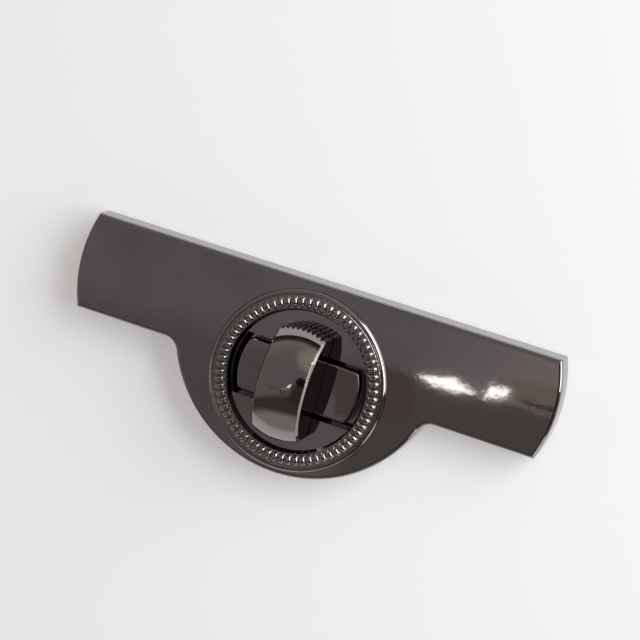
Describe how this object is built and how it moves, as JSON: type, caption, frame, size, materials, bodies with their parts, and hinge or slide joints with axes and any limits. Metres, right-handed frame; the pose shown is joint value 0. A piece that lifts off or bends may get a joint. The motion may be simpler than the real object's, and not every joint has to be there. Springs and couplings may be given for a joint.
{
  "type": "bag twist lock",
  "caption": "Winged flap plate with a round beaded ring and slotted well, closed on a base with a domed turn knob that locks the flap across the slot.",
  "frame": {"origin": "the twist axis in the rear plane of the lock", "axes": "+X along the plate, +Y towards the straight edge, +Z out of the face along the twist axis"},
  "size_m": [0.0964, 0.0377, 0.0171],
  "materials": {
    "gunmetal_plate": "polished black nickel plating on a zinc casting",
    "gunmetal_ring": "polished black nickel plating on a zinc casting",
    "gunmetal_base": "polished black nickel plating on a zinc casting",
    "gunmetal_knob": "polished black nickel plating on a zinc casting",
    "screw_steel": "plain zinc plated steel",
    "spring_steel": "plain hardened steel"
  },
  "bodies": {
    "lock_body": {"wing_plate": "gunmetal_plate", "beaded_ring": "gunmetal_ring", "back_plate": "gunmetal_plate", "back_plate_screws": "screw_steel", "turn_base": "gunmetal_base", "base_cover": "gunmetal_base", "cover_screws": "screw_steel"},
    "knob": {"turn_knob": "gunmetal_knob", "stop_plate": "spring_steel", "cone_spring": "spring_steel"}
  },
  "joints": [
    {"name": "knob_turn", "type": "hinge", "parent": "lock_body", "child": "knob", "pos_m": [0, 0, 0], "axis": [0, 0, 1], "range_deg": [0, 90]}
  ]
}
